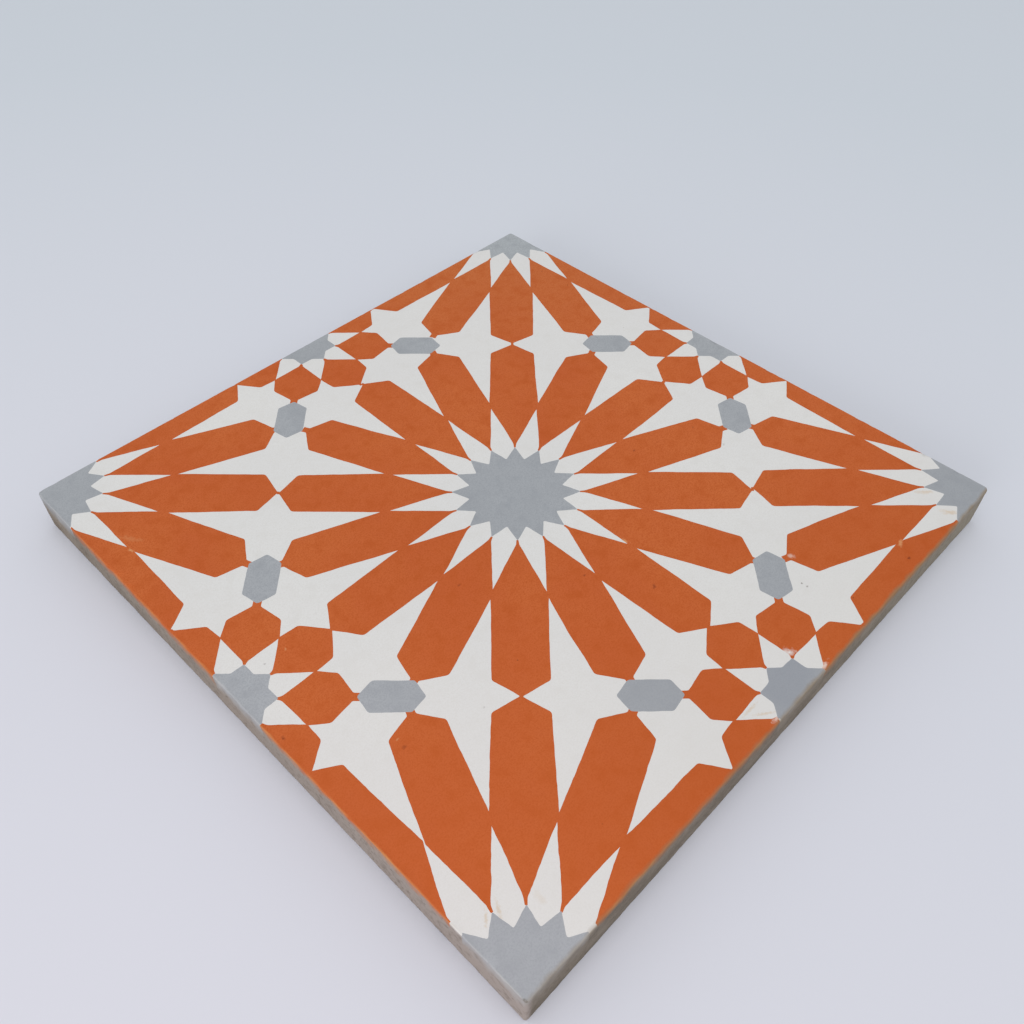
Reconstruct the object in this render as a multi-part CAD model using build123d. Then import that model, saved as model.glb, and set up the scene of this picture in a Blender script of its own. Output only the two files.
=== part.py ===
from build123d import *
from build123d.topology import SkipClean

import math
import os

# A pressed cement floor tile, lying on its back with the patterned face up.
# Millimetres, +Z up, origin at the middle of the back.

# The slab
TILE_SIDE = 200.0  # across the face, from side to side
TILE_THICKNESS = 14.0  # from the back to the face
BACK_INSET = 0.35  # how far the back stands inside the face on each side
CORNER_RADIUS = 1.0  # the upright corners, seen from above
FACE_ARRIS = 0.3  # rounding of the face's edge, from handling
BACK_ARRIS = 0.6  # rounding of the back's edge, where the mortar crumbles

# The pattern as a whole
DIVIDER_PLAY = 0.3  # between the side of the mould and the divider that parts the colours

# The great rosettes, at the middle of the face and at its corners
GREAT_RAYS = 16  # points of the star, and petals round it
GREAT_STAR_TIP = 19.25  # radius of the star's points, where the petals begin
GREAT_STAR_NOTCH = 14.05  # radius of the notches between the points
GREAT_PETAL_JOIN = 39.2  # radius at which neighbouring petals touch
GREAT_PETAL_WIDTH = 14.9  # across a petal's shoulders
GREAT_PETAL_POINT = 4.8  # from the shoulders to the outer tip
GREAT_FLANK_TIP = 71.4  # radius at which every second petal ends, against a hexagon

# The small rosettes, at the middles of the four sides, measured as the great ones are
SMALL_RAYS = 8
SMALL_STAR_TIP = 10.2
SMALL_STAR_NOTCH = 7.85
SMALL_PETAL_JOIN = 19.65
SMALL_PETAL_WIDTH = 14.4
SMALL_PETAL_POINT = 5.25

# The hexagons between the great and small rosettes
HEXAGON_POINT = 3.2  # from the long sides to the tip at each end

# Where the rosettes stand and how far they reach
CELL_HALF = TILE_SIDE / 2 - DIVIDER_PLAY
GREAT_REACH = CELL_HALF / math.sqrt(2)  # half-way from the middle to a corner
SMALL_REACH = CELL_HALF - GREAT_REACH  # what is left on the way to a side
QUARTERS = (0, 90, 180, 270)


def at_radius(radius, degrees):
    """The point at this distance from the origin, in this direction."""
    angle = math.radians(degrees)
    return radius * math.cos(angle), radius * math.sin(angle)


def star(rays, tip, notch):
    """A star with one point along +X."""
    radii = [tip, notch] * rays
    corners = [at_radius(radius, 180 * i / rays) for i, radius in enumerate(radii)]
    return Polygon(*corners, align=None)


def petal(rays, inner_tip, join, width, point, outer_tip):
    """A pointed six-sided petal along +X, which touches its neighbours at the join radius."""
    join_x, join_y = at_radius(join, 180 / rays)
    shoulder = outer_tip - point
    upper = [(inner_tip, 0), (join_x, join_y), (shoulder, width / 2), (outer_tip, 0)]
    lower = [(shoulder, -width / 2), (join_x, -join_y)]
    return Polygon(*upper, *lower, align=None)


def great_rosette():
    """The star and its ring of petals, with every second petal ending against a hexagon."""
    fields = [star(GREAT_RAYS, GREAT_STAR_TIP, GREAT_STAR_NOTCH)]
    for ray in range(GREAT_RAYS):
        outer_tip = GREAT_FLANK_TIP if ray % 2 else GREAT_REACH
        field = petal(
            GREAT_RAYS, GREAT_STAR_TIP, GREAT_PETAL_JOIN, GREAT_PETAL_WIDTH, GREAT_PETAL_POINT, outer_tip
        )
        fields.append(Rot(Z=360 * ray / GREAT_RAYS) * field)
    return fields


def small_rosette():
    """The star and its ring of petals, all of one length."""
    fields = [star(SMALL_RAYS, SMALL_STAR_TIP, SMALL_STAR_NOTCH)]
    for ray in range(SMALL_RAYS):
        field = petal(
            SMALL_RAYS, SMALL_STAR_TIP, SMALL_PETAL_JOIN, SMALL_PETAL_WIDTH, SMALL_PETAL_POINT, SMALL_REACH
        )
        fields.append(Rot(Z=360 * ray / SMALL_RAYS) * field)
    return fields


def hexagon():
    """One long hexagon, half-way along +X, from a great petal's flank tip to a small petal's tip."""
    near, low = at_radius(GREAT_FLANK_TIP, 360 / GREAT_RAYS)
    far = 2 * GREAT_REACH - near
    end = GREAT_REACH - SMALL_REACH
    high = end - HEXAGON_POINT
    corners = [(GREAT_REACH, low - HEXAGON_POINT), (far, low), (far, high), (GREAT_REACH, end)]
    return Polygon(*corners, (near, high), (near, low), align=None)


def colour_fields():
    """The outlines of all coloured fields over one pattern cell, seen from above."""
    corners = [Pos(x, y) for x in (-CELL_HALF, CELL_HALF) for y in (-CELL_HALF, CELL_HALF)]
    diagonal = Rot(Z=45)
    fields = [place * diagonal * field for place in [Pos(), *corners] for field in great_rosette()]
    for turn in QUARTERS:
        fields += [Rot(Z=turn) * Pos(CELL_HALF) * field for field in small_rosette()]
        pair = [hexagon(), mirror(hexagon(), about=Plane.XZ)]
        fields += [Rot(Z=turn) * diagonal * field for field in pair]
    return Sketch() + fields


def tile_slab():
    """The slab: drafted sides from the mould, rounded corners and softened edges."""
    draft = math.degrees(math.atan2(BACK_INSET, TILE_THICKNESS))
    face = Plane.XY.offset(TILE_THICKNESS) * RectangleRounded(TILE_SIDE, TILE_SIDE, CORNER_RADIUS)
    slab = extrude(face, amount=-TILE_THICKNESS, taper=draft)
    slab = fillet(slab.faces().sort_by(Axis.Z)[-1].edges(), FACE_ARRIS)
    return fillet(slab.faces().sort_by(Axis.Z)[0].edges(), BACK_ARRIS)


def inlaid(slab):
    """The slab with the outlines of the colours on its face, flush and in the one pressed body."""
    face = slab.faces().sort_by(Axis.Z)[-1]
    fields = (Pos(Z=TILE_THICKNESS) * colour_fields()) & face
    inlays = extrude(fields, amount=TILE_THICKNESS / 2, dir=(0, 0, -1))
    # The inlays melt into the slab, and only their outlines stay on its face.
    with SkipClean():
        return slab + inlays.solids()


os.makedirs("parts", exist_ok=True)
export_step(inlaid(tile_slab()), "parts/cement_tile.step")
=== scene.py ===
import cmath
import math
import random

import bpy
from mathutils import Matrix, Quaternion, Vector, kdtree, noise
from mathutils.geometry import delaunay_2d_cdt


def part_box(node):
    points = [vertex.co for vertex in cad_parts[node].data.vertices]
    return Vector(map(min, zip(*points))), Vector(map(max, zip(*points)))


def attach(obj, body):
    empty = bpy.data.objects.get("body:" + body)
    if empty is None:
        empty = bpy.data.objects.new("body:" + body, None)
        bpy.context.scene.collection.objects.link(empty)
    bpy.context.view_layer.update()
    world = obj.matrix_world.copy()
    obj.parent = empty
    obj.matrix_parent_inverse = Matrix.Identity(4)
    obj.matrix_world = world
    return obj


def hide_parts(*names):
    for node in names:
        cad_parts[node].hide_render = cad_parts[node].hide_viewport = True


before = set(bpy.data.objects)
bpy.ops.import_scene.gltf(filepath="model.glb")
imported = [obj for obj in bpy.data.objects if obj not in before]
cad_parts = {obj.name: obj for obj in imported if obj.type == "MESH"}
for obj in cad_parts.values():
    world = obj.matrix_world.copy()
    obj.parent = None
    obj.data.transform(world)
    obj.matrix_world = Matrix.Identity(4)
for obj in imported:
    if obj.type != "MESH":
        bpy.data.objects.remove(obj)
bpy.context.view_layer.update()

# A pressed cement floor tile with a star pattern in three pigments, lying face up.
# Sizes and places are in millimetres, angles in degrees, and colours as a screen shows them, up to 255.
# Places on the face are complex numbers, x + yj. Meshes, nodes, lamps and the camera take metres.
MM = 0.001
NODE = "cement_tile"

# The slab, from the frame, and its softened edges
SIDE_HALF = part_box(NODE)[1].x / MM
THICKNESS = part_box(NODE)[1].z / MM
BACK_INSET = 0.2  # how far the back stands inside the face on each side
CORNER_RADIUS = 1.0  # the upright corners, seen from above
BLUNT_CORNER_RADIUS = 1.4  # the right corner, which is worn
TIGHTEST_CORNER = 0.25  # the least radius of a row of points that stands further in
FACE_ARRIS = 0.3  # rounding of the face's edge
RUBBED_ARRIS = 0.7  # the same along the right side, which is rubbed
RUBBED_UNEVENNESS = 0.25  # the share of that rubbing that comes and goes
RUBBED_FALLOFF = 4  # how quickly it ends round the corners
BACK_ARRIS = 0.6  # rounding of the back's edge

# The pattern's cell, a little inside the mould, and how far the whole pattern is turned in it
MOULD_SIDE = 200.0
DIVIDER_PLAY = 0.3
CELL_HALF = MOULD_SIDE / 2 - DIVIDER_PLAY
GREAT_REACH = CELL_HALF / math.sqrt(2)  # half-way from the middle to a corner
SMALL_REACH = CELL_HALF - GREAT_REACH  # what is left on the way to a side
PATTERN_TURN = 0.18

# The great rosettes, at the middle and the corners, and the small ones at the middles of the sides:
# radii of the star's points and notches and of the petals' joins, the petals' width, how far pigment ran
# across a join, and half the width of the neck at the star, with the waist that follows it
GREAT = {"rays": 16, "star_tip": 19.25, "notch": 14.05, "join": 39.2, "width": 14.9, "run": 0.33,
         "neck": 0.28, "waist": 1.5 + 0.45j}
SMALL = {"rays": 8, "star_tip": 10.2, "notch": 7.85, "join": 19.65, "width": 14.4, "run": 0.17,
         "neck": 0.32, "waist": 1.0 + 0.7j}

# The petals' outer ends: the radius of the tips at the hexagons, the lengths from the shoulders to the tip,
# half the widths of the necks at other petals and at hexagons, and how far a neck runs into what it touches
GREAT_FLANK_TIP = 71.4
GREAT_POINT = 4.8
GREAT_FLANK_POINT = 5.3
SMALL_POINT = 5.25
TIP_NECK = 0.4
HEXAGON_NECK = 1.15
OVERLAP = 0.2
GREAT_ENDS = ((GREAT_REACH, GREAT_POINT, TIP_NECK), (GREAT_FLANK_TIP, GREAT_FLANK_POINT, HEXAGON_NECK))
SMALL_ENDS = ((SMALL_REACH, SMALL_POINT, TIP_NECK), (SMALL_REACH, SMALL_POINT, HEXAGON_NECK))

# The hexagons between great and small rosettes: from the long sides to the tip at each end
HEXAGON_POINT = 3.2

# Where the hand-set divider has the rosettes, away from the true cell, and how deep the corner stars'
# notches go: the corners from the front one by the left and right to the far one, the sides from +X to -Y
CENTRE_SHIFT = -0.25 - 0.35j
CORNER_SHIFTS = (0j, 0.05j, 0.25 + 0.2j, 0.1 + 0.1j)
CORNER_NOTCHES = (14.7, 15.0, 14.1, 14.05)
SIDE_SHIFTS = (0.1 - 0.1j, -1.0 + 0.1j, 0.3 - 0.3j, -0.5 + 0.35j)

# The petal of the front corner that slipped sideways and ends short of its star
SLIPPED_RAY = 2
PETAL_SLIP = -0.5 + 1.25j
SLIPPED_STAR_TIP = 21.5

# Places where the divider was pushed off its line: the place, how far round it, and which way
PUSHES = (
    (0j, 14.0, -0.4 + 0j),
    (-52 - 8j, 26.0, 0.7 - 0.15j),
    (50 + 28j, 16.0, -0.7 - 0.2j),
    (55 - 10j, 11.0, 0.5 - 0.2j),
    (15 - 46j, 15.0, -0.2 + 0.7j),
    (62 - 66j, 16.0, 0.6j),
    (-22 - 46j, 10.0, -0.5 - 0.4j),
    (-66 - 88j, 11.0, 0.4 + 0.4j),
    (0 - 96j, 12.0, 0.7j),
    (90 + 44j, 10.0, 0.7j),
    (-92 - 2j, 9.0, -0.3 + 0j),
)

# How far each corner of a petal, and in turn the points and notches of a star, is cut back and rounded
PETAL_ROUNDING = (0.1, 0.5, 0.3, 0.7, 0.4, 0.1, 0.1, 0.4, 0.7, 0.3, 0.5, 0.1)
GREAT_STAR_ROUNDING = (0.3, 0.5)
SMALL_STAR_ROUNDING = (0.35, 0.5)
HEXAGON_ROUNDING = (0.6,)
ROUNDING_STEPS = (0, 0.33, 0.67, 1)
LINE_TO_CUT = 3  # a line is at least this many times as long as the cut at each of its ends

# How far the fields and lines stray by chance: strays and roughness as (reach, amount)
FIELD_STRAY = 0.1
LINE_STRAYS = ((60.0, 0.08), (7.0, 0.16))
LINE_ROUGHNESS = ((1.9, 0.05), (0.9, 0.03))
FRONT_ROUGHNESS = 2.6  # times as rough at the front corner
FRONT_START = 90.0  # where that begins, as -x - y
FRONT_REACH = 80.0  # how far on it is fully so
LINE_STEP = 0.75  # between the points of a line
FIELD_SEED = 5
LINE_SEED = 3

# The mesh of the face, edges and back
FACE_GRID = 1.3
BACK_GRID = 2.6
GRID_JITTER = 0.3
GRID_SEED = 11
CLEAR_OF_LINES = 0.55  # how far the grid's points stay from the lines
MERGE_DISTANCE = 1e-4
ALL_TRIANGLES = 0  # the triangulation's own number for that kind of output
EDGE_STEP = 0.9
CORNER_STEPS = 5
ARRIS_STEPS = 4
SIDE_ROWS = 13

# Wear of the face's edge, the sides and the back's edge: roughness and chipping
FACE_EDGE_WEAR = (0.03, 0.35)
SIDE_WEAR = (0.12, 0.1)
BACK_EDGE_WEAR = (0.2, 1.2)
CHIP_START = 0.35  # how high the chips' noise is where they begin

# Random relief: the reach of its features and the layer of noise that it is from, with its depth first
# where it has one
FINE_WEAR = (1.9, 1)
COARSE_WEAR = (6.0, 2)
CHIPS = (3.5, 3)
RUBBING = (14.0, 6)
FACE_RELIEF = ((0.03, 18.0, 4), (0.008, 2.5, 5))
BACK_RELIEF = ((0.1, 9.0, 7), (0.04, 3.0, 8))
LAYER_SPACING = 17.3  # between layers, in reaches

WHITE, ORANGE, GREY, MORTAR = range(4)

# How deep each pigment goes into the mortar, as the sides show it, and how far on its material is used
PIGMENT_DEPTHS = {WHITE: 3.0, ORANGE: 4.4, GREY: 6.5}
PIGMENT_FADE = 1.0

# The share of the specks' cells that hold one
SPECK_SHARES = {WHITE: 0.05, ORANGE: 0.16, GREY: 0.25}

# The colours of each pigment, of the mortar and of the edge that is rubbed bare
# The deep tones serve for the mottling and also as painted shade near the right side.
# The far tones are a painted sheen: the orange and grey turn paler towards the far corner, which is seen at
# a grazing angle.
# The front tones are painted light: each pigment turns lighter towards the front corner, where more light
# falls.
WHITE_TONES = {"plain": (212, 212, 212), "pale": (215, 215, 214), "deep": (207, 206, 204),
               "far": (212, 212, 212), "front": (226, 218, 216), "speck": (170, 160, 150),
               "rubbed": (202, 190, 176)}
ORANGE_TONES = {"plain": (186, 90, 44), "pale": (192, 100, 50), "deep": (174, 80, 30),
                "far": (189, 108, 58), "front": (202, 97, 47), "speck": (96, 50, 30),
                "rubbed": (198, 140, 88)}
GREY_TONES = {"plain": (154, 158, 163), "pale": (164, 168, 173), "deep": (144, 148, 154),
              "far": (168, 174, 178), "front": (173, 171, 177), "speck": (110, 112, 116),
              "rubbed": (180, 178, 176)}
# The mortar's left tone is painted light on the left side, which faces the left lamp.
# The mortar's pit tone is painted shade in small pits.
MORTAR_TONES = {"plain": (115, 105, 93), "pale": (135, 125, 113), "left": (160, 148, 142),
                "right": (158, 151, 135), "sand": (94, 83, 74), "grain": (162, 151, 142),
                "pit": (72, 64, 58)}
BARE_EDGE = (135, 116, 88)

# Marks on the face: the pigment they are on, place, length, width, direction, colour and strength. Some are
# painted shade: small dark pits, a duller grey over the small star at the middle of the right side, and the
# dark of a chip at the front corner.
OCHRE = (198, 168, 128)
TAN = (206, 150, 104)
PALE = (224, 208, 198)
SPILT_WHITE = (217, 214, 211)
RUST = (112, 46, 24)
# Painted shade: dark spots for small pits in the white, which the mesh does not have.
PAINTED_PIT_SHADE = (112, 104, 98)
# Painted shade: a duller grey over the small star at the middle of the right side.
PAINTED_SHADE_GREY = (140, 144, 153)
# Painted shade: the dark of a chip at the front corner.
PAINTED_CHIP_SHADE = (64, 54, 48)
MARKS = (
    (WHITE, -83.0, -87.6, 4.0, 2.4, 80, OCHRE, 0.15),
    (WHITE, -90.6, -82.6, 5.5, 1.1, 60, OCHRE, 0.40),
    (WHITE, -93.9, -82.2, 5.0, 1.0, 48, OCHRE, 0.40),
    (WHITE, 84.8, -86.8, 6.0, 1.8, 135, OCHRE, 0.40),
    (WHITE, 82.6, -96.0, 6.5, 2.4, 128, OCHRE, 0.45),
    (WHITE, -13.2, -92.8, 7.0, 1.0, 0, OCHRE, 0.40),
    (WHITE, -11.6, -96.0, 7.0, 1.0, -38, OCHRE, 0.40),
    (WHITE, 29.7, -80.0, 0.7, 0.6, 0, PAINTED_PIT_SHADE, 0.75),
    (WHITE, 29.8, -81.6, 0.9, 0.8, 0, PAINTED_PIT_SHADE, 0.70),
    (WHITE, -88.7, 2.9, 0.8, 0.7, 0, PAINTED_PIT_SHADE, 0.55),
    (WHITE, 59.8, -32.1, 1.2, 1.0, 0, PAINTED_PIT_SHADE, 0.25),
    (WHITE, -58.5, -45.8, 0.8, 0.7, 0, PAINTED_PIT_SHADE, 0.30),
    (ORANGE, 8.0, -90.2, 5.4, 3.2, 135, SPILT_WHITE, 1.0),
    (ORANGE, 35.8, -72.4, 2.8, 1.8, 110, PALE, 0.50),
    (ORANGE, 10.4, -98.8, 5.5, 1.6, 5, PALE, 0.75),
    (ORANGE, -10.6, -98.8, 4.0, 1.5, 5, PALE, 0.65),
    (ORANGE, 61.8, -92.0, 3.2, 1.5, 20, TAN, 0.80),
    (ORANGE, -92.4, 60.7, 2.6, 1.2, 100, TAN, 0.80),
    (ORANGE, 7.4, -35.6, 3.4, 1.5, 100, TAN, 0.70),
    (ORANGE, -90.0, 64.3, 9.0, 2.2, 125, TAN, 0.22),
    (ORANGE, -82.2, 2.8, 1.2, 0.7, 60, TAN, 0.60),
    (ORANGE, -79.1, -37.2, 1.1, 0.8, 0, TAN, 0.60),
    (ORANGE, 58.5, -96.4, 1.3, 1.0, 0, RUST, 0.75),
    (ORANGE, 38.1, -14.0, 1.4, 1.0, 30, RUST, 0.60),
    (ORANGE, 0.5, -51.9, 1.8, 1.3, 50, RUST, 0.60),
    (ORANGE, -98.0, -17.7, 1.6, 1.1, 80, RUST, 0.60),
    (ORANGE, -79.3, -40.0, 1.6, 1.2, 0, RUST, 0.45),
    (ORANGE, -10.0, -35.8, 1.1, 0.8, 0, RUST, 0.55),
    (ORANGE, -36.5, -13.8, 1.3, 1.0, 0, RUST, 0.45),
    (GREY, 0.0, -94.0, 34.0, 22.0, 0, PAINTED_SHADE_GREY, 0.5),
    (GREY, -99.85, -99.6, 2.6, 1.3, 100, PAINTED_CHIP_SHADE, 0.9),
)

# How matt the tile and the floor are
TILE_SPECULAR = 0.2
FLOOR_ROUGHNESS = 0.9

# The floor: its size, its colours from near the tile to the horizon, and the place they are measured from.
# The change from the near colour to the far one is painted light, which dims away from that place.
FLOOR_HALF = 30000.0
FLOOR_IN_PAINTED_LIGHT = (213, 213, 223)
FLOOR_OUT_OF_PAINTED_LIGHT = (200, 207, 216)
FLOOR_HORIZON = (255, 255, 255)
FLOOR_PAINTED_LIGHT_CENTRE = (-240.0, -120.0, 0.0)

# The light: the sky's strength, and each lamp's name, width in metres, power in watts and place in metres
SKY_STRENGTH = 0.7
LAMPS = (
    ("overhead_lamp", 1.6, 11.0, (-0.25, -0.3, 2.0)),
    ("left_lamp", 0.9, 8.0, (-1.55, -0.3, 0.5)),
)

# The camera: where it stands, what it looks at, its roll and its lens
CAMERA_PLACE = (-145.1, -138.0, 222.1)
CAMERA_AIM = (-7.04, -5.18, 14.0)
CAMERA_ROLL = 0.54
SENSOR_WIDTH = 36.0
FOCAL_LENGTH = 34.19


def polar(radius, degrees):
    """The point at this distance from the origin, in this direction."""
    return cmath.rect(radius, math.radians(degrees))


def star(rays, tip, notch):
    """The corners of a star with one point along the first axis."""
    return [polar(notch if i % 2 else tip, 180 * i / rays) for i in range(2 * rays)]


def petal(sizes, outer_tip, point, outer_neck):
    """The corners of a petal along the first axis, with necks that run into what they touch."""
    neck = complex(sizes["star_tip"] - OVERLAP, sizes["neck"])
    waist = sizes["star_tip"] + sizes["waist"]
    side = polar(sizes["join"], 180 / sizes["rays"]) + 1j * sizes["run"]
    shoulder = complex(outer_tip - point, sizes["width"] / 2)
    narrowing = point * outer_neck / shoulder.imag
    throat = complex(outer_tip - narrowing, outer_neck)
    end = complex(outer_tip + narrowing + OVERLAP, outer_neck)
    upper = [neck, waist, side, shoulder, throat, end]
    return upper + [p.conjugate() for p in reversed(upper)]


def hexagon():
    """The corners of the long hexagon between a great petal's flank tip and a small petal's tip."""
    flank = polar(GREAT_FLANK_TIP, 360 / GREAT["rays"])
    near, low = flank.real, flank.imag
    far = 2 * GREAT_REACH - near
    end = GREAT_REACH - SMALL_REACH
    high = end - HEXAGON_POINT
    right = [(GREAT_REACH, low - HEXAGON_POINT), (far, low), (far, high)]
    left = [(GREAT_REACH, end), (near, high), (near, low)]
    return [complex(x, y) for x, y in right + left]


def rounded(corners, cuts):
    """The outline with each corner cut back and replaced by a short curve."""
    outline = []
    count = len(corners)
    for i, corner in enumerate(corners):
        cut = cuts[i % len(cuts)]
        before = corners[i - 1] - corner
        after = corners[(i + 1) % count] - corner
        start = corner + before / abs(before) * min(cut, abs(before) / LINE_TO_CUT)
        end = corner + after / abs(after) * min(cut, abs(after) / LINE_TO_CUT)
        for t in ROUNDING_STEPS:
            outline.append(start * (1 - t) ** 2 + corner * 2 * t * (1 - t) + end * t ** 2)
    return outline


def in_short_steps(outline, step):
    """The closed outline with its long stretches divided."""
    points = []
    for i, start in enumerate(outline):
        end = outline[(i + 1) % len(outline)]
        parts = max(1, round(abs(end - start) / step))
        points += [start + (end - start) * k / parts for k in range(parts)]
    return points


def anticlockwise(outline):
    """The outline, turned round if it runs clockwise."""
    area = sum((outline[i - 1].conjugate() * p).imag for i, p in enumerate(outline))
    return outline if area > 0 else outline[::-1]


def nearness_to_front(point):
    """From 0 over most of the face to 1 at the front corner."""
    return min(1.0, max(0.0, (-point.real - point.imag - FRONT_START) / FRONT_REACH))


def strayed(point):
    """Where the hand-set divider really has this point of the pattern, and how the pigment ran there."""
    for place, reach, push in PUSHES:
        point += push * math.exp(-(abs(point - place) / reach) ** 2)
    rough = 1 + (FRONT_ROUGHNESS - 1) * nearness_to_front(point)
    roughness = tuple((reach, amount * rough) for reach, amount in LINE_ROUGHNESS)
    for reach, amount in LINE_STRAYS + roughness:
        drift = noise.noise_vector(Vector((point.real / reach, point.imag / reach, reach)))
        point += complex(drift.x, drift.y) * amount
    return point


def placed_petal(sizes, end, ray):
    """The rounded outline of one ray's petal, with the rosette's middle at the origin."""
    turn = polar(1, 360 * ray / sizes["rays"])
    return [p * turn for p in rounded(petal(sizes, *end), PETAL_ROUNDING)]


def rosette_fields(sizes, ends, star_rounding):
    """One rosette as (pigment, outline) pairs: the star, then its petals, with their ends by turns."""
    rays = sizes["rays"]
    fields = [(GREY, rounded(star(rays, sizes["star_tip"], sizes["notch"]), star_rounding))]
    return fields + [(ORANGE, placed_petal(sizes, ends[ray % len(ends)], ray)) for ray in range(rays)]


def great_rosettes():
    """The rosettes at the middle and the corners of the tile, with the front corner's slipped petal."""
    fields = []
    corners = [complex(x, y) * CELL_HALF for x in (-1, 1) for y in (-1, 1)]
    front_corner = corners[0]
    diagonal = polar(1, 45)
    shifts = [CENTRE_SHIFT, *CORNER_SHIFTS]
    notches = [GREAT["notch"], *CORNER_NOTCHES]
    for place, shift, notch in zip([0j, *corners], shifts, notches):
        rosette = rosette_fields({**GREAT, "notch": notch}, GREAT_ENDS, GREAT_STAR_ROUNDING)
        # The star comes first, as -1, and then the petals from 0.
        for ray, (pigment, outline) in enumerate(rosette, start=-1):
            slip = 0
            if place == front_corner and ray == SLIPPED_RAY:
                slip = PETAL_SLIP
                outline = placed_petal({**GREAT, "star_tip": SLIPPED_STAR_TIP}, GREAT_ENDS[0], ray)
            fields.append((pigment, [place + shift + slip + p * diagonal for p in outline]))
    return fields


def small_rosettes():
    """The rosettes at the middles of the sides, each with the two hexagons beside it."""
    fields = []
    small = rosette_fields(SMALL, SMALL_ENDS, SMALL_STAR_ROUNDING)
    gem = [p / polar(1, 45) for p in rounded(hexagon(), HEXAGON_ROUNDING)]
    pair = [(GREY, gem), (GREY, [p.conjugate() for p in gem])]
    group = [(pigment, [p + CELL_HALF for p in outline]) for pigment, outline in small] + pair
    for quarter, shift in enumerate(SIDE_SHIFTS):
        turn = polar(1, 90 * quarter)
        fields += [(pigment, [p * turn + shift for p in outline]) for pigment, outline in group]
    return fields


def colour_fields():
    """All fields of the pattern that touch the tile, as (pigment, outline) pairs, strayed by hand."""
    chance = random.Random(FIELD_SEED)
    noise.seed_set(LINE_SEED)
    fields = []
    for pigment, outline in great_rosettes() + small_rosettes():
        shift = complex(chance.uniform(-1, 1), chance.uniform(-1, 1)) * FIELD_STRAY
        turned = [p * polar(1, PATTERN_TURN) + shift for p in outline]
        points = [strayed(p) for p in in_short_steps(turned, LINE_STEP)]
        if min(max(abs(p.real), abs(p.imag)) for p in points) < SIDE_HALF:
            fields.append((pigment, anticlockwise(points)))
    return fields


def bumpy(x, y, z, reach, layer):
    """A smooth random number from -1 to 1 with features of this reach."""
    return noise.noise(Vector((x / reach, y / reach, z / reach + LAYER_SPACING * layer)))


def relief(p, parts):
    """How far a flat surface is worn in at this point."""
    return sum(depth * (1 + bumpy(p.real, p.imag, 0, *part)) for depth, *part in parts)


def ring_sizes(inset, p):
    """The half side of the square that the corners are rounded from, and the radius of p's corner."""
    corner_radius = BLUNT_CORNER_RADIUS if p.real > 0 > p.imag else CORNER_RADIUS
    radius = max(corner_radius - inset, TIGHTEST_CORNER)
    return SIDE_HALF - inset - radius, radius


def outward(p):
    """The nearest point of the square that the face's corners are rounded from, and the way out from it."""
    core, _ = ring_sizes(FACE_ARRIS, p)
    nearest = complex(*(max(-core, min(core, v)) for v in (p.real, p.imag)))
    return nearest, (p - nearest) / abs(p - nearest)


def face_arris(p):
    """How far the face's edge is rounded at this point: more along the right side, which is rubbed."""
    _, way = outward(p)
    uneven = 1 - RUBBED_UNEVENNESS + RUBBED_UNEVENNESS * bumpy(p.real, 0, 0, *RUBBING)
    rubbed = max(0.0, -way.imag) ** RUBBED_FALLOFF * uneven
    return FACE_ARRIS + (RUBBED_ARRIS - FACE_ARRIS) * rubbed


def face_outline():
    """The edge of the flat face, seen from above, as a closed row of points."""
    sharp = []
    for quarter in range(4):
        turn = polar(1, 90 * quarter)
        before, _ = ring_sizes(FACE_ARRIS, (1 - 1j) * turn)
        core, radius = ring_sizes(FACE_ARRIS, (1 + 1j) * turn)
        steps = round((before + core) / EDGE_STEP)
        side = [complex(core + radius, -before + (before + core) * i / steps) for i in range(steps + 1)]
        side += [complex(core, core) + polar(radius, 90 * i / CORNER_STEPS) for i in range(1, CORNER_STEPS)]
        sharp += [p * turn for p in side]
    return [p - outward(p)[1] * (face_arris(p) - FACE_ARRIS) for p in sharp]


def filled(outline, fields, grid):
    """Triangles over an outline, cut along the fields' lines: points, faces, pigments and origins.

    There is one pigment for each face. A point's origins are its numbers among the points of the outline,
    the lines and the grid.
    """
    points = list(outline)
    shapes = [list(range(len(outline)))]
    for _, line in fields:
        shapes.append(list(range(len(points), len(points) + len(line))))
        points += line
    lines = kdtree.KDTree(len(points))
    for i, p in enumerate(points):
        lines.insert((p.real, p.imag, 0), i)
    lines.balance()
    edge = max(p.real for p in outline)
    chance = random.Random(GRID_SEED)
    rows = math.ceil(2 * edge / grid)
    for row in range(rows):
        for column in range(rows):
            x = -edge + (column + 0.5 + GRID_JITTER * chance.uniform(-1, 1)) * grid
            y = -edge + (row + 0.5 + GRID_JITTER * chance.uniform(-1, 1)) * grid
            if max(abs(x), abs(y)) < edge - CLEAR_OF_LINES and lines.find((x, y, 0))[2] > CLEAR_OF_LINES:
                points.append(complex(x, y))
    flat = [Vector((p.real, p.imag)) for p in points]
    made = delaunay_2d_cdt(flat, [], shapes, ALL_TRIANGLES, MERGE_DISTANCE)
    corners, _, faces, from_points, _, from_shapes = made
    kept, pigments = [], []
    for face, shapes_here in zip(faces, from_shapes):
        if 0 in shapes_here:
            here = {fields[i - 1][0] for i in shapes_here if i}
            kept.append(face)
            pigments.append(GREY if GREY in here else ORANGE if ORANGE in here else WHITE)
    used = sorted({i for face in kept for i in face})
    number = {old: new for new, old in enumerate(used)}
    kept = [[number[i] for i in face] for face in kept]
    return [complex(*corners[i]) for i in used], kept, pigments, [from_points[i] for i in used]


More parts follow.
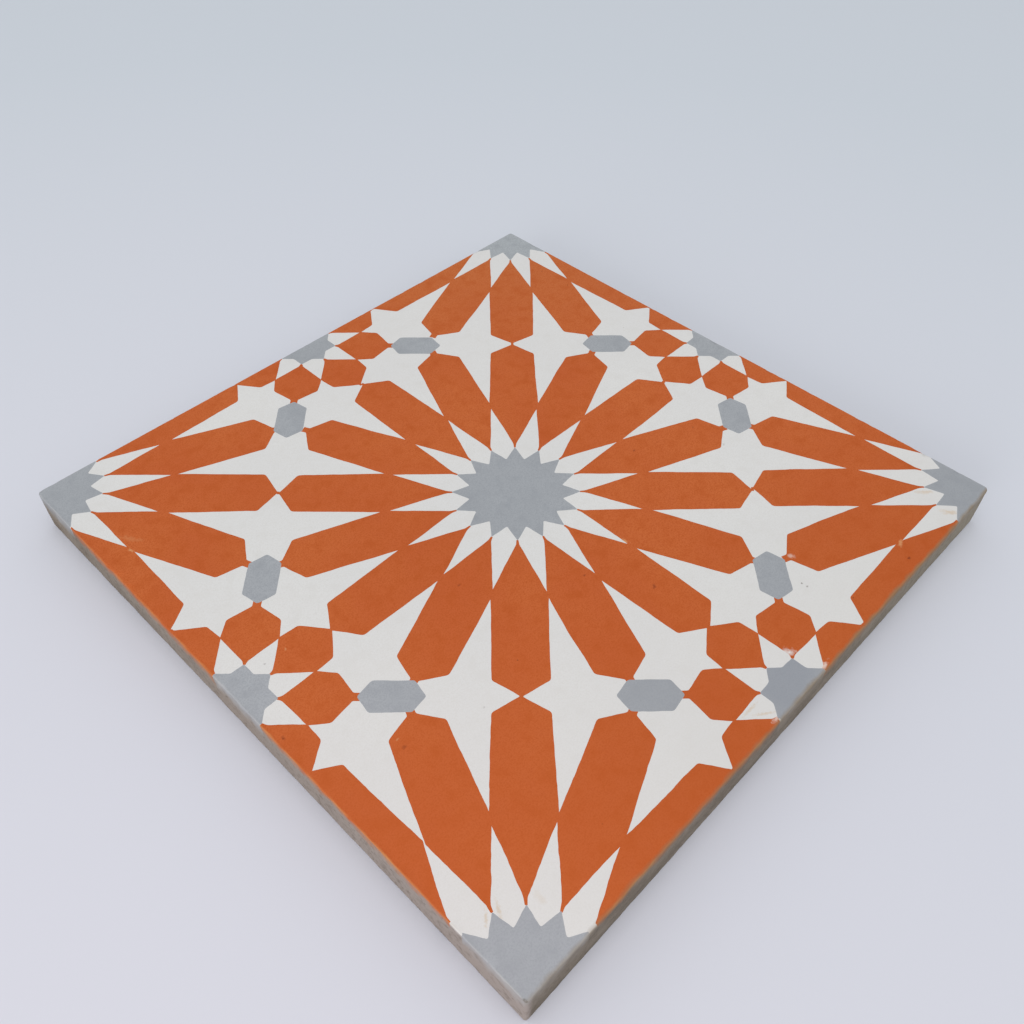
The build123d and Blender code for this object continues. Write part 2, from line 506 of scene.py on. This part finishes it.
def border(faces):
    """The border of a patch of triangles as a closed row of (point, face beside the edge to the next)."""
    owner = {}
    for i, face in enumerate(faces):
        for a, b in zip(face, face[1:] + face[:1]):
            owner[a, b] = i
    after = {a: (b, i) for (a, b), i in owner.items() if (b, a) not in owner}
    start = next(iter(after))
    row, point = [], start
    while not row or point != start:
        following, face = after[point]
        row.append((point, face))
        point = following
    return row


def profile(arris):
    """The edge's steps from the face down to the back, as (inset, height, roughness, chipping)."""
    quarter_turn = [math.pi / 2 * i / ARRIS_STEPS for i in range(1, ARRIS_STEPS + 1)]
    steps = []
    for angle in quarter_turn:
        height = THICKNESS - arris * (1 - math.cos(angle))
        steps.append((arris * (1 - math.sin(angle)), height, *FACE_EDGE_WEAR))
    top, bottom = THICKNESS - arris, BACK_ARRIS
    for i in range(1, SIDE_ROWS + 1):
        share = i / SIDE_ROWS
        steps.append((BACK_INSET * share, top + (bottom - top) * share, *SIDE_WEAR))
    for angle in quarter_turn:
        inset = BACK_INSET + BACK_ARRIS * (1 - math.cos(angle))
        steps.append((inset, BACK_ARRIS * (1 - math.sin(angle)), *BACK_EDGE_WEAR))
    return steps


def edge_column(p):
    """The points below one point of the face's edge, down to the back, worn inwards and never outwards."""
    first_core, _ = ring_sizes(FACE_ARRIS, p)
    core, way = outward(p)
    middle = THICKNESS / 2
    column = []
    for inset, height, roughness, chipping in profile(face_arris(p)):
        place = (p.real, p.imag, height)
        worn = roughness * abs(bumpy(*place, *FINE_WEAR)) + roughness * abs(bumpy(*place, *COARSE_WEAR))
        chip = chipping * max(0.0, bumpy(*place, *CHIPS) - CHIP_START)
        core_half, radius = ring_sizes(inset + worn + chip, p)
        q = core * (core_half / first_core) + way * radius
        column.append((q.real, q.imag, height + chip * (middle - height) / middle))
    return column


def tile_mesh():
    """The whole tile as one closed mesh: face, edges and back, with a pigment for each of its faces."""
    flat, faces, pigments, _ = filled(face_outline(), colour_fields(), FACE_GRID)
    points = [(p.real, p.imag, THICKNESS - relief(p, FACE_RELIEF)) for p in flat]
    row = border(faces)
    above = [i for i, _ in row]
    beside = [pigments[face] for _, face in row]
    for ring in zip(*(edge_column(flat[i]) for i in above)):
        below = list(range(len(points), len(points) + len(row)))
        points += ring
        for i, pigment in enumerate(beside):
            j = (i + 1) % len(row)
            faces.append([above[j], above[i], below[i], below[j]])
            depth = THICKNESS - ring[i][2]
            pigments.append(pigment if depth < PIGMENT_DEPTHS[pigment] + PIGMENT_FADE else MORTAR)
        above = below
    rim = [complex(*points[i][:2]) for i in above]
    back, back_faces, _, origins = filled(rim, [], BACK_GRID)
    place = {}
    for i, p in enumerate(back):
        on_rim = [k for k in origins[i] if k < len(rim)]
        if on_rim:
            place[i] = above[on_rim[0]]
        else:
            place[i] = len(points)
            points.append((p.real, p.imag, relief(p, BACK_RELIEF)))
    for face in back_faces:
        faces.append([place[i] for i in reversed(face)])
        pigments.append(MORTAR)
    return points, faces, pigments


class Shader:
    """One material, and short ways to add nodes to it, with sizes given in millimetres."""

    def __init__(self, name):
        self.material = bpy.data.materials.new(name)
        self.material.use_nodes = True
        self.nodes = self.material.node_tree.nodes
        self.surface = self.nodes["Principled BSDF"]
        self.place = self.nodes.new("ShaderNodeTexCoord").outputs["Object"]

    def feed(self, socket, value):
        """Links a socket to another, or sets its number or colour."""
        if isinstance(value, bpy.types.NodeSocket):
            self.material.node_tree.links.new(value, socket)
        else:
            socket.default_value = value

    def maths(self, operation, a, b):
        """The result of a sum with two numbers."""
        node = self.nodes.new("ShaderNodeMath")
        node.operation = operation
        self.feed(node.inputs[0], a)
        self.feed(node.inputs[1], b)
        return node.outputs[0]

    def plus(self, a, b):
        """The two numbers added."""
        return self.maths("ADD", a, b)

    def times(self, a, b):
        """The two numbers multiplied."""
        return self.maths("MULTIPLY", a, b)

    def levels(self, value, low, high, least=0.0, most=1.0):
        """The value spread from low..high to least..most, and held there."""
        node = self.nodes.new("ShaderNodeMapRange")
        self.feed(node.inputs["Value"], value)
        node.inputs["From Min"].default_value = low
        node.inputs["From Max"].default_value = high
        node.inputs["To Min"].default_value = least
        node.inputs["To Max"].default_value = most
        return node.outputs[0]

    def fade(self, distance, start, end, least=0.0, most=1.0):
        """A distance spread from start..end to least..most, and held there."""
        return self.levels(distance, start * MM, end * MM, least, most)

    def mix(self, share, a, b):
        """Colour a, with this share of colour b."""
        node = self.nodes.new("ShaderNodeMix")
        node.data_type = "RGBA"
        self.feed(node.inputs["Factor"], share)
        self.feed(node.inputs["A"], a)
        self.feed(node.inputs["B"], b)
        return node.outputs["Result"]

    def noise(self, size, detail=3, stretch=(1, 1, 1)):
        """Cloudy noise with features of this size, from 0 to 1."""
        mapping = self.nodes.new("ShaderNodeMapping")
        self.feed(mapping.inputs["Vector"], self.place)
        mapping.inputs["Scale"].default_value = [s / (size * MM) for s in stretch]
        node = self.nodes.new("ShaderNodeTexNoise")
        self.feed(node.inputs["Vector"], mapping.outputs[0])
        node.inputs["Scale"].default_value = 1.0
        node.inputs["Detail"].default_value = detail
        return node.outputs["Fac"]

    def ragged(self, distance, size, reach, detail=3):
        """The distance, made uneven by up to this reach either way, with features of this size."""
        uneven = self.levels(self.noise(size, detail), low=0.3, high=0.7, least=-reach * MM, most=reach * MM)
        return self.plus(distance, uneven)

    def dots(self, spacing, radius, share):
        """Soft round dots in this share of the cells of this spacing: 1 inside and 0 outside."""
        node = self.nodes.new("ShaderNodeTexVoronoi")
        self.feed(node.inputs["Vector"], self.place)
        node.inputs["Scale"].default_value = 1 / (spacing * MM)
        near = self.levels(node.outputs["Distance"], low=radius / spacing, high=0.5 * radius / spacing)
        cell = self.nodes.new("ShaderNodeSeparateColor")
        self.feed(cell.inputs[0], node.outputs["Color"])
        return self.times(near, self.levels(cell.outputs[0], low=1 - share, high=1.01 - share))

    def blot(self, x, y, length, width, degrees):
        """A ragged oval blot on the face: 1 at its middle, fading to 0 outside."""
        mapping = self.nodes.new("ShaderNodeMapping")
        mapping.vector_type = "TEXTURE"
        self.feed(mapping.inputs["Vector"], self.place)
        mapping.inputs["Location"].default_value = (x * MM, y * MM, THICKNESS * MM)
        mapping.inputs["Rotation"].default_value = (0, 0, math.radians(degrees))
        mapping.inputs["Scale"].default_value = (length / 2 * MM, width / 2 * MM, width * MM)
        distance = self.nodes.new("ShaderNodeVectorMath")
        distance.operation = "LENGTH"
        self.feed(distance.inputs[0], mapping.outputs[0])
        uneven = self.levels(self.noise(0.5 * width, detail=4), low=0.25, high=0.75, least=-0.55, most=0.55)
        return self.levels(self.plus(distance.outputs["Value"], uneven), low=1.0, high=0.2)

    def along(self, axis):
        """The place along one axis."""
        node = self.nodes.new("ShaderNodeSeparateXYZ")
        self.feed(node.inputs[0], self.place)
        return node.outputs[axis]

    def from_side(self):
        """How far the place is from the nearest side of the tile."""
        across = self.maths("MAXIMUM", *(self.maths("ABSOLUTE", self.along(axis), 0) for axis in ("X", "Y")))
        return self.maths("SUBTRACT", SIDE_HALF * MM, across)

    def towards_front(self):
        """How far the place lies towards the front corner, as -x - y."""
        return self.times(self.plus(self.along("X"), self.along("Y")), -1.0)

    def below_face(self):
        """How far the place is below the face."""
        return self.maths("SUBTRACT", THICKNESS * MM, self.along("Z"))

    def finish(self, colour, roughness, height, bump_depth, bump_strength):
        """Connects the colour, roughness and relief to the surface."""
        self.feed(self.surface.inputs["Base Color"], colour)
        self.feed(self.surface.inputs["Roughness"], roughness)
        self.surface.inputs["Specular IOR Level"].default_value = TILE_SPECULAR
        bump = self.nodes.new("ShaderNodeBump")
        bump.inputs["Distance"].default_value = bump_depth * MM
        bump.inputs["Strength"].default_value = bump_strength
        self.feed(bump.inputs["Height"], height)
        self.feed(self.surface.inputs["Normal"], bump.outputs[0])
        return self.material


def linear(colour):
    """A colour as a screen shows it, by the sRGB curve, as the shader's own numbers."""
    def one(value):
        share = value / 255
        return share / 12.92 if share <= 0.04045 else ((share + 0.055) / 1.055) ** 2.4
    return (*(one(value) for value in colour), 1.0)


def mortar_colour(s):
    """The grey-brown of the bare mortar: blotched, sandy and flecked with dark pits, their darkness painted
    shade, and with painted light on the left side, lighter towards the front.
    """
    tones = {tone: linear(colour) for tone, colour in MORTAR_TONES.items()}
    blotch = s.noise(size=14.0, detail=4, stretch=(1, 1, 2))
    sand = s.noise(size=1.6, detail=4)
    grain = s.noise(size=0.5, detail=2)
    # Painted light: the left side, which faces the left lamp, turns lighter towards the front corner.
    on_left_side = s.fade(s.along("X"), start=-98.0, end=-99.0)
    left = s.times(s.fade(s.towards_front(), start=0.0, end=200.0, most=0.95), on_left_side)
    right = s.fade(s.along("X"), start=0.0, end=90.0, most=0.6)
    # Painted shade: dark dots for the shade in small pits, which the mesh does not have.
    pits = s.times(s.dots(spacing=3.0, radius=0.4, share=0.35), 0.6)
    colour = s.mix(s.levels(blotch, low=0.35, high=0.68), tones["plain"], tones["pale"])
    colour = s.mix(left, colour, tones["left"])
    colour = s.mix(right, colour, tones["right"])
    colour = s.mix(s.levels(sand, low=0.5, high=0.75, most=0.55), colour, tones["sand"])
    colour = s.mix(s.levels(grain, low=0.52, high=0.75, most=0.35), colour, tones["grain"])
    return s.mix(pits, colour, tones["pit"])


def worn_share(s):
    """How far the pigment is worn at the very edge of the face, most of all towards the front."""
    edge = s.fade(s.ragged(s.from_side(), size=3.0, reach=0.2), start=0.5, end=0.1)
    patches = s.levels(s.noise(size=6.0), low=0.35, high=0.65, least=0.1, most=0.75)
    return s.times(s.times(edge, patches), s.fade(s.towards_front(), start=0.0, end=160.0, least=0.5))


def rubbed_share(s):
    """How far the pigment is rubbed away along the edge of the right side."""
    from_right = s.plus(s.along("Y"), SIDE_HALF * MM)
    edge = s.fade(s.ragged(from_right, size=5.0, reach=0.4, detail=4), start=1.1, end=0.0)
    return s.times(edge, s.fade(s.along("X"), start=-50.0, end=20.0, least=0.5, most=0.8))


def sunk_share(s, depth):
    """How much mortar shows through the pigment: none on the face, more down the side, all at this depth."""
    below = s.below_face()
    thinner = s.fade(s.towards_front(), start=50.0, end=200.0, most=1.2 * MM)
    sunk = s.plus(s.ragged(below, size=4.0, reach=0.3 * depth), thinner)
    return s.times(s.fade(sunk, start=0.0, end=depth), s.fade(below, start=0.1, end=0.3))


def pigment_material(name, number, colours):
    """Pressed coloured cement: clouds, mottling and grain, specks and marks, some marks painted shade, and
    worn edges, with a painted sheen towards the far corner, painted light towards the front corner and
    painted shade near the right side.
    """
    s = Shader(name)
    tones = {tone: linear(colour) for tone, colour in colours.items()}
    clouds = s.noise(size=35.0)
    mottle = s.noise(size=4.5, detail=4)
    grain = s.noise(size=0.38, detail=2)
    # Painted sheen: paler towards the far corner, where the face is seen at a grazing angle.
    far = s.fade(s.towards_front(), start=-80.0, end=-190.0, most=0.9)
    # Painted light: lighter towards the front corner, where more light falls.
    front = s.fade(s.towards_front(), start=40.0, end=170.0, most=0.4)
    # Painted shade: the face turns darker near the right side, fading out towards the front corner.
    painted_shade_near_right_side = s.fade(s.along("Y"), start=-45.0, end=-100.0, most=0.45)
    right = s.times(painted_shade_near_right_side, s.fade(s.along("X"), start=-100.0, end=-30.0))
    specks = s.times(s.dots(spacing=6.0, radius=0.25, share=SPECK_SHARES[number]), 0.7)
    colour = s.mix(s.levels(clouds, low=0.35, high=0.7), tones["plain"], tones["pale"])
    colour = s.mix(far, colour, tones["far"])
    colour = s.mix(s.levels(mottle, low=0.5, high=0.8, most=0.7), colour, tones["deep"])
    colour = s.mix(s.levels(grain, low=0.42, high=0.72, most=0.9), colour, tones["deep"])
    colour = s.mix(front, colour, tones["front"])
    colour = s.mix(right, colour, tones["deep"])
    colour = s.mix(specks, colour, tones["speck"])
    # Some marks are painted shade: the pits, the dull grey patch by the right side and the chip at the front
    # corner.
    for marked, *oval, mark_colour, strength in MARKS:
        if marked == number:
            colour = s.mix(s.times(s.blot(*oval), strength), colour, linear(mark_colour))
    colour = s.mix(worn_share(s), colour, tones["rubbed"])
    colour = s.mix(rubbed_share(s), colour, linear(BARE_EDGE))
    colour = s.mix(sunk_share(s, PIGMENT_DEPTHS[number]), colour, mortar_colour(s))
    roughness = s.levels(mottle, low=0.3, high=0.7, least=0.72, most=0.88)
    height = s.plus(mottle, s.times(grain, 0.4))
    return s.finish(colour, roughness, height, bump_depth=0.08, bump_strength=0.5)


def bare_mortar():
    """The mortar of the sides and back."""
    s = Shader("bare_mortar")
    sand = s.noise(size=1.6, detail=4)
    roughness = s.levels(sand, low=0.3, high=0.7, least=0.85, most=0.97)
    height = s.plus(sand, s.times(s.noise(size=0.5, detail=2), 0.4))
    return s.finish(mortar_colour(s), roughness, height, bump_depth=0.3, bump_strength=0.6)


def tile_materials():
    """White, orange, grey and mortar, in the order of the pigment numbers."""
    white = pigment_material("white_cement", WHITE, WHITE_TONES)
    orange = pigment_material("orange_cement", ORANGE, ORANGE_TONES)
    grey = pigment_material("grey_cement", GREY, GREY_TONES)
    return [white, orange, grey, bare_mortar()]


def patterned_tile():
    """The tile as one piece, in place of the plain solid."""
    points, faces, pigments = tile_mesh()
    mesh = bpy.data.meshes.new("patterned_tile")
    mesh.from_pydata([Vector(p) * MM for p in points], [], faces)
    mesh.update()
    mesh.polygons.foreach_set("material_index", pigments)
    mesh.polygons.foreach_set("use_smooth", [True] * len(faces))
    for material in tile_materials():
        mesh.materials.append(material)
    tile = bpy.data.objects.new("patterned_tile", mesh)
    bpy.context.collection.objects.link(tile)
    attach(tile, "root")
    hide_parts(NODE)


def floor():
    """A pale floor under the tile, with painted light that is brightest round a place off the tile's left
    side and dims away from it, which meets the sky without a line.
    """
    half = FLOOR_HALF * MM
    mesh = bpy.data.meshes.new("floor")
    corners = [(-half, -half, 0), (half, -half, 0), (half, half, 0), (-half, half, 0)]
    mesh.from_pydata(corners, [], [[0, 1, 2, 3]])
    s = Shader("pale_floor")
    away = s.nodes.new("ShaderNodeVectorMath")
    away.operation = "DISTANCE"
    s.feed(away.inputs[0], s.place)
    away.inputs[1].default_value = Vector(FLOOR_PAINTED_LIGHT_CENTRE) * MM
    distance = away.outputs["Value"]
    # Painted light: lighter round a place off the tile's left side, dimmer away from it.
    colour = s.mix(s.fade(distance, start=100.0, end=600.0), linear(FLOOR_IN_PAINTED_LIGHT), linear(FLOOR_OUT_OF_PAINTED_LIGHT))
    colour = s.mix(s.fade(distance, start=900.0, end=3000.0), colour, linear(FLOOR_HORIZON))
    s.feed(s.surface.inputs["Base Color"], colour)
    s.surface.inputs["Roughness"].default_value = FLOOR_ROUGHNESS
    mesh.materials.append(s.material)
    plane = bpy.data.objects.new("floor", mesh)
    bpy.context.collection.objects.link(plane)


def soft_lamp(name, width, power, place):
    """A round area lamp that points at the tile."""
    lamp = bpy.data.lights.new(name, "AREA")
    lamp.shape = "DISK"
    lamp.size = width
    lamp.energy = power
    stand = bpy.data.objects.new(name, lamp)
    stand.location = place
    stand.rotation_euler = (-stand.location).to_track_quat("-Z", "Y").to_euler()
    bpy.context.collection.objects.link(stand)


def lights():
    """An even pale sky, a large soft lamp overhead and a smaller one from the left."""
    world = bpy.data.worlds.new("studio")
    world.use_nodes = True
    sky = world.node_tree.nodes["Background"]
    sky.inputs["Color"].default_value = (1.0, 1.0, 1.0, 1.0)
    sky.inputs["Strength"].default_value = SKY_STRENGTH
    bpy.context.scene.world = world
    for lamp in LAMPS:
        soft_lamp(*lamp)


def camera():
    """The photograph's view: a little over the front corner, looking down."""
    lens = bpy.data.cameras.new("camera")
    lens.sensor_width = SENSOR_WIDTH
    lens.lens = FOCAL_LENGTH
    eye = Vector(CAMERA_PLACE) * MM
    aim = Vector(CAMERA_AIM) * MM
    roll = Quaternion((0, 0, 1), math.radians(CAMERA_ROLL))
    view = bpy.data.objects.new("camera", lens)
    view.location = eye
    view.rotation_mode = "QUATERNION"
    view.rotation_quaternion = (aim - eye).to_track_quat("-Z", "Y") @ roll
    bpy.context.collection.objects.link(view)
    bpy.context.scene.camera = view


bpy.context.scene.view_settings.view_transform = "Standard"
patterned_tile()
floor()
lights()
camera()
